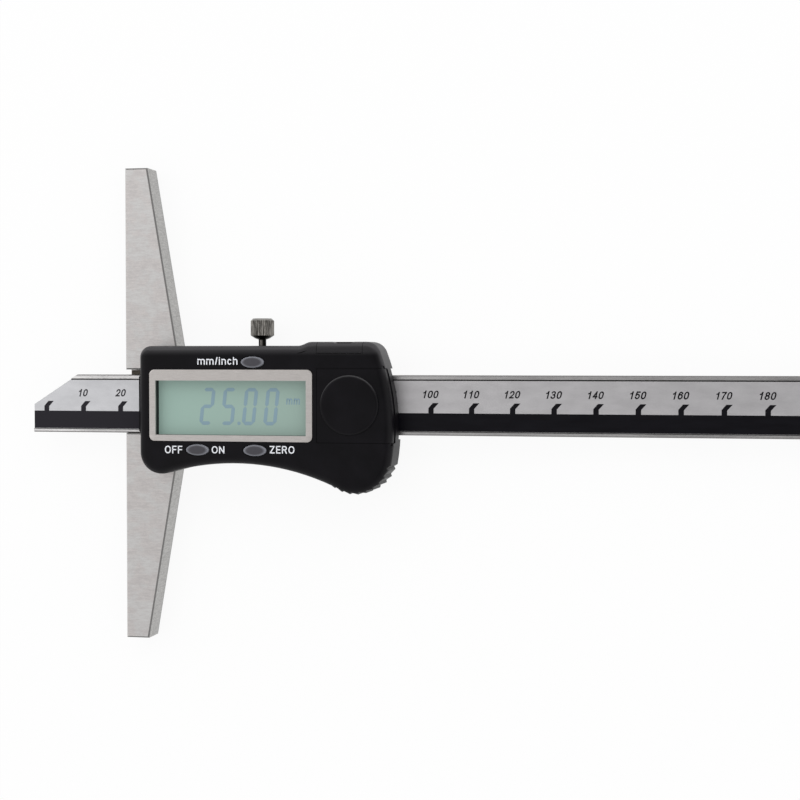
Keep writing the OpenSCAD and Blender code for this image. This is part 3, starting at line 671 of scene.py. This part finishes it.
def litBars(look, inkMiddle):
    tall = look["high"] - look["low"] - look["bar"]
    wide = look["digitWidth"] - look["bar"]
    across = segmentBar(wide - look["barGap"], look)
    upright = segmentBar(tall / 2 - look["barGap"], look)
    spots = {"a": (0, 2, across), "g": (0, 0, across), "d": (0, -2, across), "b": (1, 1, upright),
             "c": (1, -1, upright), "e": (-1, -1, upright), "f": (-1, 1, upright)}
    bars = []
    for i, figure in enumerate(look["figures"]):
        middle = Matrix.Translation(((look["firstDigit"] + look["pitch"] * i) * mm,
                                     (look["high"] + look["low"]) / 2 * mm, inkMiddle))
        for letter in segmentsOf[figure]:
            x, y, model = spots[letter]
            bar = bpy.data.objects.new("bar", model.data.copy())
            scene.collection.objects.link(bar)
            spot = Matrix.Translation((x * wide / 2 * mm, y * tall / 4 * mm, 0))
            turn = Matrix.Rotation(math.pi / 2 if model is upright else 0, 4, "Z")
            bar.data.transform(middle @ leaning(look["slant"]) @ spot @ turn)
            bars.append(bar)
    bpy.data.objects.remove(across)
    bpy.data.objects.remove(upright)
    return bars


def decimalPoint(look, inkMiddle):
    deselect()
    x = look["firstDigit"] + look["pitch"] * (look["pointAfter"] + 0.5) - look["pointBack"]
    y = look["low"] + look["bar"] / 2
    bpy.ops.mesh.primitive_cylinder_add(vertices=12, radius=look["bar"] / 2 * mm, depth=look["thick"] * mm,
                                        location=(x * mm, y * mm, inkMiddle))
    bpy.ops.object.transform_apply(location=True)
    return bpy.context.object


def figures(look):
    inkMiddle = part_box("display_glass")[1].z + look["rise"] * mm
    pieces = litBars(look, inkMiddle) + [decimalPoint(look, inkMiddle)]
    deselect()
    for piece in pieces:
        piece.select_set(True)
    bpy.context.view_layer.objects.active = pieces[0]
    bpy.ops.object.join()
    fitOut(bpy.context.object, "display_figures", "slider", materials["figureInk"])
    unit = printText("mm", look)
    x, y = look["unitPlace"]
    setDown(unit, (x * mm, y * mm, inkMiddle), look["unitSize"], look["thick"])
    fitOut(unit, "display_unit", "slider", materials["figureInk"])


figures(displayLook)
print("display figures made")


# Table, lamps and surroundings: floorOwn is the share of plain white that the camera and the gloss see, and
# patch how much darker the sky is round patchAt, which gives the flat metal its grey
room = {"floorSize": 6, "floorDrop": 0.02, "floorColor": 0.92, "floorOwn": 0.91,
        "sky": 0.98, "patch": 0.72, "patchAt": (0.14, 0.02, 0.985), "patchFrom": 0.05, "patchTo": 0.8,
        "lamps": {"softbox": {"at": (-0.7, 0.4, 0.75), "size": (0.9, 0.9), "power": 1.2},
                  "strip": {"at": (0.1, 0.9, 0.55), "size": (1.5, 0.9), "power": 3.2}}}


def tableTop():
    deselect()
    level = cadLow.z - room["floorDrop"] * mm
    bpy.ops.mesh.primitive_plane_add(size=room["floorSize"], location=(0, 0, level))
    bpy.ops.object.transform_apply(location=True)
    floor = bpy.context.object
    floor.name = "table_top"
    made = bpy.data.materials.new("tablePaper")
    made.use_nodes = True
    tree = made.node_tree
    tree.nodes.remove(tree.nodes["Principled BSDF"])
    rays = tree.nodes.new("ShaderNodeLightPath")
    seen = [Shade(tree, rays.outputs[name]) for name in
            ("Is Camera Ray", "Is Glossy Ray", "Is Transmission Ray")]
    plain = seen[0].node("BsdfDiffuse", {}, {"Color": (room["floorColor"],) * 3 + (1,)})
    own = seen[0].node("Emission", {}, {"Color": (1, 1, 1, 1), "Strength": 1})
    share = seen[0].sum("MAXIMUM", seen[0].sum("MAXIMUM", seen[0], seen[1]), seen[2]) * room["floorOwn"]
    blend = share.node("MixShader", {}, {0: share, 1: plain, 2: own})
    tree.links.new(blend.socket, tree.nodes["Material Output"].inputs["Surface"])
    dress(floor, made)


def surroundings():
    world = bpy.data.worlds.new("studio")
    scene.world = world
    world.use_nodes = True
    tree = world.node_tree
    ray = Shade(tree, tree.nodes.new("ShaderNodeTexCoord").outputs["Generated"])
    away = ray.distance(room["patchAt"]).smooth(room["patchFrom"], room["patchTo"])
    level = room["sky"] * ((1 - room["patch"]) + away * room["patch"])
    plug(tree.nodes["Background"].inputs["Strength"], level)
    plug(tree.nodes["Background"].inputs["Color"], (1, 1, 1, 1))


def lamp(name, look):
    light = bpy.data.lights.new(name, "AREA")
    light.shape = "RECTANGLE"
    light.size, light.size_y = look["size"]
    light.energy = look["power"]
    made = bpy.data.objects.new(name, light)
    scene.collection.objects.link(made)
    made.location = look["at"]
    made.rotation_euler = (-made.location).to_track_quat("-Z", "Y").to_euler()


tableTop()
surroundings()
for name, look in room["lamps"].items():
    lamp(name, look)
scene.view_settings.view_transform = "Standard"

view = {"at": (0.1494, 0.01168, 0.3896), "turn": (-1.5204, 11.602, 0.003), "lens": 72, "sensor": 36,
        "near": 0.01}
bpy.ops.object.camera_add(location=view["at"], rotation=[math.radians(a) for a in view["turn"]])
scene.camera = bpy.context.object
scene.camera.data.lens = view["lens"]
scene.camera.data.sensor_width = view["sensor"]
scene.camera.data.clip_start = view["near"]
print("table, lamps and camera placed")
